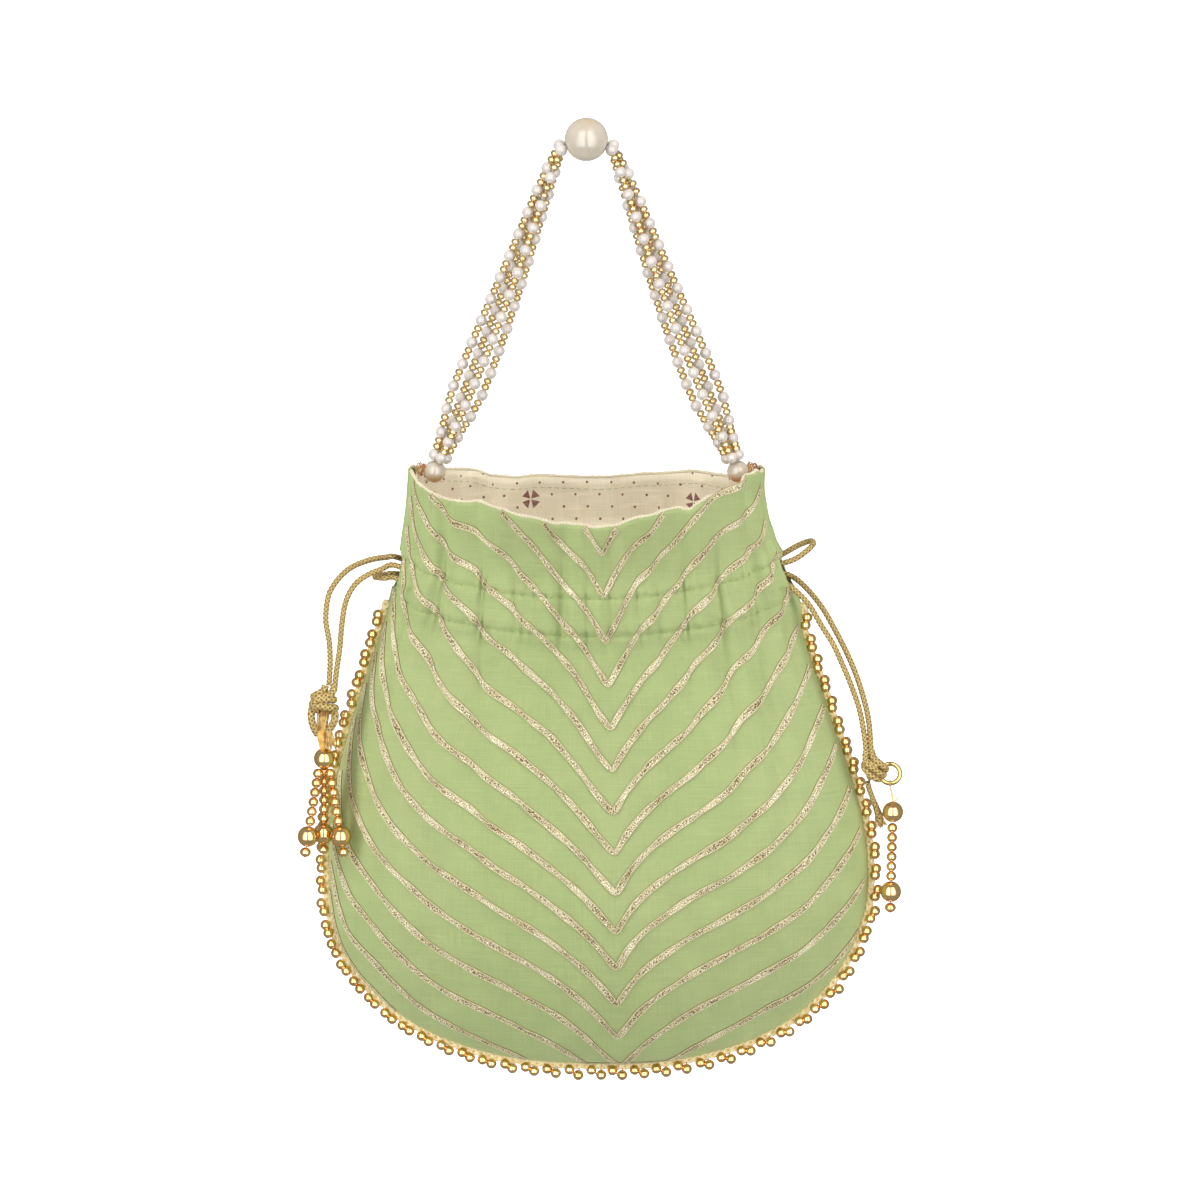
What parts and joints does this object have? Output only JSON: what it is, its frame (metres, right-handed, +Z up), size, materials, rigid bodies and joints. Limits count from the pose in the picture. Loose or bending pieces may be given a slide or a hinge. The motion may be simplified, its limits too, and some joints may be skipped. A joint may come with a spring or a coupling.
{
  "type": "drawstring pouch",
  "caption": "Silk drawstring pouch with a beaded handle, a bead fringe round its seam and tasselled cords, held by its handle.",
  "frame": {"origin": "centre of the large pearl at the top of the handle, where a hand or a hook takes the bag", "axes": "+Z up, +X to the right seen from the front, the front of the bag faces -Y"},
  "size_m": [0.2527, 0.0794, 0.4122],
  "materials": {
    "green_silk": "soft silk sheen",
    "printed_cotton": "matte printed cotton",
    "gold_braid": "woven metallic braid",
    "gold_cord": "braided metallic thread",
    "gold_bead": "polished gold coating",
    "large_pearl": "pearl lustre",
    "strung_pearl": "pearl lustre with gold seed beads"
  },
  "bodies": {
    "handle": {"top_pearl": "large_pearl", "left_base_pearl": "large_pearl", "right_base_pearl": "large_pearl", "left_strand_1": "strung_pearl", "left_strand_2": "strung_pearl", "left_strand_3": "strung_pearl", "left_strand_4": "strung_pearl", "right_strand_1": "strung_pearl", "right_strand_2": "strung_pearl", "right_strand_3": "strung_pearl", "right_strand_4": "strung_pearl"},
    "bag": {"front_panel": "green_silk", "back_panel": "green_silk", "front_lining": "printed_cotton", "back_lining": "printed_cotton", "edge_braid": "gold_braid", "bead_fringe": "gold_bead", "left_drawstring": "gold_cord", "right_drawstring": "gold_cord", "right_cord_tail": "gold_cord", "left_cord_ends": "gold_cord", "left_knot": "gold_cord", "right_knot": "gold_cord", "left_anchor": "gold_bead", "right_anchor": "gold_bead"},
    "left_tassel": {"left_tassel_top_bead": "gold_bead"},
    "left_tassel_left_string": {"left_tassel_left_small_beads": "gold_bead", "left_tassel_left_large_bead": "gold_bead", "left_tassel_left_end_bead": "gold_bead"},
    "left_tassel_right_string": {"left_tassel_right_small_beads": "gold_bead", "left_tassel_right_large_bead": "gold_bead", "left_tassel_right_end_bead": "gold_bead"},
    "left_tassel_rear_string": {"left_tassel_rear_small_beads": "gold_bead", "left_tassel_rear_large_bead": "gold_bead", "left_tassel_rear_end_bead": "gold_bead"},
    "right_ring": {"right_ring": "gold_bead"},
    "right_tassel": {"right_tassel_wire": "gold_bead", "right_tassel_top_bead": "gold_bead", "right_tassel_small_beads": "gold_bead", "right_tassel_large_bead": "gold_bead", "right_tassel_end_bead": "gold_bead"}
  },
  "joints": [
    {"name": "handle_swing", "type": "hinge", "parent": "handle", "child": "bag", "pos_m": [0, 0, -0.142], "axis": [1, 0, 0], "range_deg": [-75, 75]},
    {"name": "left_tassel_swing", "type": "hinge", "parent": "bag", "child": "left_tassel", "pos_m": [-0.11019, -0.01004, -0.263], "axis": [1, 0, 0], "range_deg": [-60, 0]},
    {"name": "left_string_swing", "type": "hinge", "parent": "left_tassel", "child": "left_tassel_left_string", "pos_m": [-0.11191, -0.01066, -0.26711], "axis": [0, 1, 0], "range_deg": [0, 40]},
    {"name": "right_string_swing", "type": "hinge", "parent": "left_tassel", "child": "left_tassel_right_string", "pos_m": [-0.10847, -0.01066, -0.26711], "axis": [0, 1, 0], "range_deg": [-5, 0]},
    {"name": "rear_string_swing", "type": "hinge", "parent": "left_tassel", "child": "left_tassel_rear_string", "pos_m": [-0.11019, -0.0082, -0.26711], "axis": [1, 0, 0], "range_deg": [0, 8]},
    {"name": "ring_turn", "type": "hinge", "parent": "bag", "child": "right_ring", "pos_m": [0.12751, -0.01803, -0.2678], "axis": [0, 1, 0], "range_deg": [-60, 0]},
    {"name": "right_tassel_swing", "type": "hinge", "parent": "right_ring", "child": "right_tassel", "pos_m": [0.12751, -0.01803, -0.2718], "axis": [1, 0, 0], "range_deg": [-60, 0]}
  ]
}
